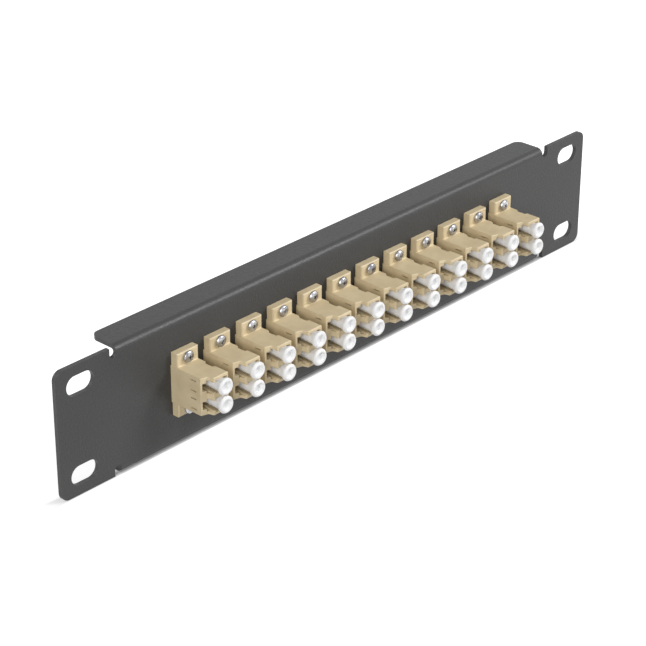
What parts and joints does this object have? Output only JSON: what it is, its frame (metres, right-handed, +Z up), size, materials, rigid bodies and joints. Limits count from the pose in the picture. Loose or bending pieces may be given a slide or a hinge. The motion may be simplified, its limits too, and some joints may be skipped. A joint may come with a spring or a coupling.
{
  "type": "fibre patch panel",
  "caption": "Folded black rack panel with a row of beige duplex fibre adapters, screwed on through their flanges and closed by white pull-off dust caps.",
  "frame": {"origin": "centre of the four rack slots, on the front face of the folded sheet", "axes": "+X along the panel to the right as seen from the front, +Y back into the rack, +Z up"},
  "size_m": [0.254, 0.0335, 0.044],
  "materials": {
    "panel_coat": "fine textured powder coat, satin black",
    "housing_plastic": "moulded beige plastic",
    "cap_plastic": "soft white plastic, a little translucent",
    "screw_steel": "bright plated steel",
    "nut_steel": "plated steel",
    "sleeve_ceramic": "ground white ceramic"
  },
  "bodies": {
    "panel": {"rack_panel": "panel_coat", "front_housing_01": "housing_plastic", "front_housing_02": "housing_plastic", "front_housing_03": "housing_plastic", "front_housing_04": "housing_plastic", "front_housing_05": "housing_plastic", "front_housing_06": "housing_plastic", "front_housing_07": "housing_plastic", "front_housing_08": "housing_plastic", "front_housing_09": "housing_plastic", "front_housing_10": "housing_plastic", "front_housing_11": "housing_plastic", "front_housing_12": "housing_plastic", "rear_housing_01": "housing_plastic", "rear_housing_02": "housing_plastic", "rear_housing_03": "housing_plastic", "rear_housing_04": "housing_plastic", "rear_housing_05": "housing_plastic", "rear_housing_06": "housing_plastic", "rear_housing_07": "housing_plastic", "rear_housing_08": "housing_plastic", "rear_housing_09": "housing_plastic", "rear_housing_10": "housing_plastic", "rear_housing_11": "housing_plastic", "rear_housing_12": "housing_plastic", "rear_caps": "cap_plastic", "alignment_sleeves": "sleeve_ceramic", "upper_flange_screws": "screw_steel", "lower_flange_screws": "screw_steel", "upper_nuts": "nut_steel", "lower_nuts": "nut_steel"},
    "front_cap_01_upper": {"front_cap_01_upper": "cap_plastic"},
    "front_cap_01_lower": {"front_cap_01_lower": "cap_plastic"},
    "front_cap_02_upper": {"front_cap_02_upper": "cap_plastic"},
    "front_cap_02_lower": {"front_cap_02_lower": "cap_plastic"},
    "front_cap_03_upper": {"front_cap_03_upper": "cap_plastic"},
    "front_cap_03_lower": {"front_cap_03_lower": "cap_plastic"},
    "front_cap_04_upper": {"front_cap_04_upper": "cap_plastic"},
    "front_cap_04_lower": {"front_cap_04_lower": "cap_plastic"},
    "front_cap_05_upper": {"front_cap_05_upper": "cap_plastic"},
    "front_cap_05_lower": {"front_cap_05_lower": "cap_plastic"},
    "front_cap_06_upper": {"front_cap_06_upper": "cap_plastic"},
    "front_cap_06_lower": {"front_cap_06_lower": "cap_plastic"},
    "front_cap_07_upper": {"front_cap_07_upper": "cap_plastic"},
    "front_cap_07_lower": {"front_cap_07_lower": "cap_plastic"},
    "front_cap_08_upper": {"front_cap_08_upper": "cap_plastic"},
    "front_cap_08_lower": {"front_cap_08_lower": "cap_plastic"},
    "front_cap_09_upper": {"front_cap_09_upper": "cap_plastic"},
    "front_cap_09_lower": {"front_cap_09_lower": "cap_plastic"},
    "front_cap_10_upper": {"front_cap_10_upper": "cap_plastic"},
    "front_cap_10_lower": {"front_cap_10_lower": "cap_plastic"},
    "front_cap_11_upper": {"front_cap_11_upper": "cap_plastic"},
    "front_cap_11_lower": {"front_cap_11_lower": "cap_plastic"},
    "front_cap_12_upper": {"front_cap_12_upper": "cap_plastic"},
    "front_cap_12_lower": {"front_cap_12_lower": "cap_plastic"}
  },
  "joints": [
    {"name": "front_cap_01_upper_pull", "type": "slide", "parent": "panel", "child": "front_cap_01_upper", "axis": [0, -1, 0], "range_m": [0, 0.03]},
    {"name": "front_cap_01_lower_pull", "type": "slide", "parent": "panel", "child": "front_cap_01_lower", "axis": [0, -1, 0], "range_m": [0, 0.03]},
    {"name": "front_cap_02_upper_pull", "type": "slide", "parent": "panel", "child": "front_cap_02_upper", "axis": [0, -1, 0], "range_m": [0, 0.03]},
    {"name": "front_cap_02_lower_pull", "type": "slide", "parent": "panel", "child": "front_cap_02_lower", "axis": [0, -1, 0], "range_m": [0, 0.03]},
    {"name": "front_cap_03_upper_pull", "type": "slide", "parent": "panel", "child": "front_cap_03_upper", "axis": [0, -1, 0], "range_m": [0, 0.03]},
    {"name": "front_cap_03_lower_pull", "type": "slide", "parent": "panel", "child": "front_cap_03_lower", "axis": [0, -1, 0], "range_m": [0, 0.03]},
    {"name": "front_cap_04_upper_pull", "type": "slide", "parent": "panel", "child": "front_cap_04_upper", "axis": [0, -1, 0], "range_m": [0, 0.03]},
    {"name": "front_cap_04_lower_pull", "type": "slide", "parent": "panel", "child": "front_cap_04_lower", "axis": [0, -1, 0], "range_m": [0, 0.03]},
    {"name": "front_cap_05_upper_pull", "type": "slide", "parent": "panel", "child": "front_cap_05_upper", "axis": [0, -1, 0], "range_m": [0, 0.03]},
    {"name": "front_cap_05_lower_pull", "type": "slide", "parent": "panel", "child": "front_cap_05_lower", "axis": [0, -1, 0], "range_m": [0, 0.03]},
    {"name": "front_cap_06_upper_pull", "type": "slide", "parent": "panel", "child": "front_cap_06_upper", "axis": [0, -1, 0], "range_m": [0, 0.03]},
    {"name": "front_cap_06_lower_pull", "type": "slide", "parent": "panel", "child": "front_cap_06_lower", "axis": [0, -1, 0], "range_m": [0, 0.03]},
    {"name": "front_cap_07_upper_pull", "type": "slide", "parent": "panel", "child": "front_cap_07_upper", "axis": [0, -1, 0], "range_m": [0, 0.03]},
    {"name": "front_cap_07_lower_pull", "type": "slide", "parent": "panel", "child": "front_cap_07_lower", "axis": [0, -1, 0], "range_m": [0, 0.03]},
    {"name": "front_cap_08_upper_pull", "type": "slide", "parent": "panel", "child": "front_cap_08_upper", "axis": [0, -1, 0], "range_m": [0, 0.03]},
    {"name": "front_cap_08_lower_pull", "type": "slide", "parent": "panel", "child": "front_cap_08_lower", "axis": [0, -1, 0], "range_m": [0, 0.03]},
    {"name": "front_cap_09_upper_pull", "type": "slide", "parent": "panel", "child": "front_cap_09_upper", "axis": [0, -1, 0], "range_m": [0, 0.03]},
    {"name": "front_cap_09_lower_pull", "type": "slide", "parent": "panel", "child": "front_cap_09_lower", "axis": [0, -1, 0], "range_m": [0, 0.03]},
    {"name": "front_cap_10_upper_pull", "type": "slide", "parent": "panel", "child": "front_cap_10_upper", "axis": [0, -1, 0], "range_m": [0, 0.03]},
    {"name": "front_cap_10_lower_pull", "type": "slide", "parent": "panel", "child": "front_cap_10_lower", "axis": [0, -1, 0], "range_m": [0, 0.03]},
    {"name": "front_cap_11_upper_pull", "type": "slide", "parent": "panel", "child": "front_cap_11_upper", "axis": [0, -1, 0], "range_m": [0, 0.03]},
    {"name": "front_cap_11_lower_pull", "type": "slide", "parent": "panel", "child": "front_cap_11_lower", "axis": [0, -1, 0], "range_m": [0, 0.03]},
    {"name": "front_cap_12_upper_pull", "type": "slide", "parent": "panel", "child": "front_cap_12_upper", "axis": [0, -1, 0], "range_m": [0, 0.03]},
    {"name": "front_cap_12_lower_pull", "type": "slide", "parent": "panel", "child": "front_cap_12_lower", "axis": [0, -1, 0], "range_m": [0, 0.03]}
  ]
}
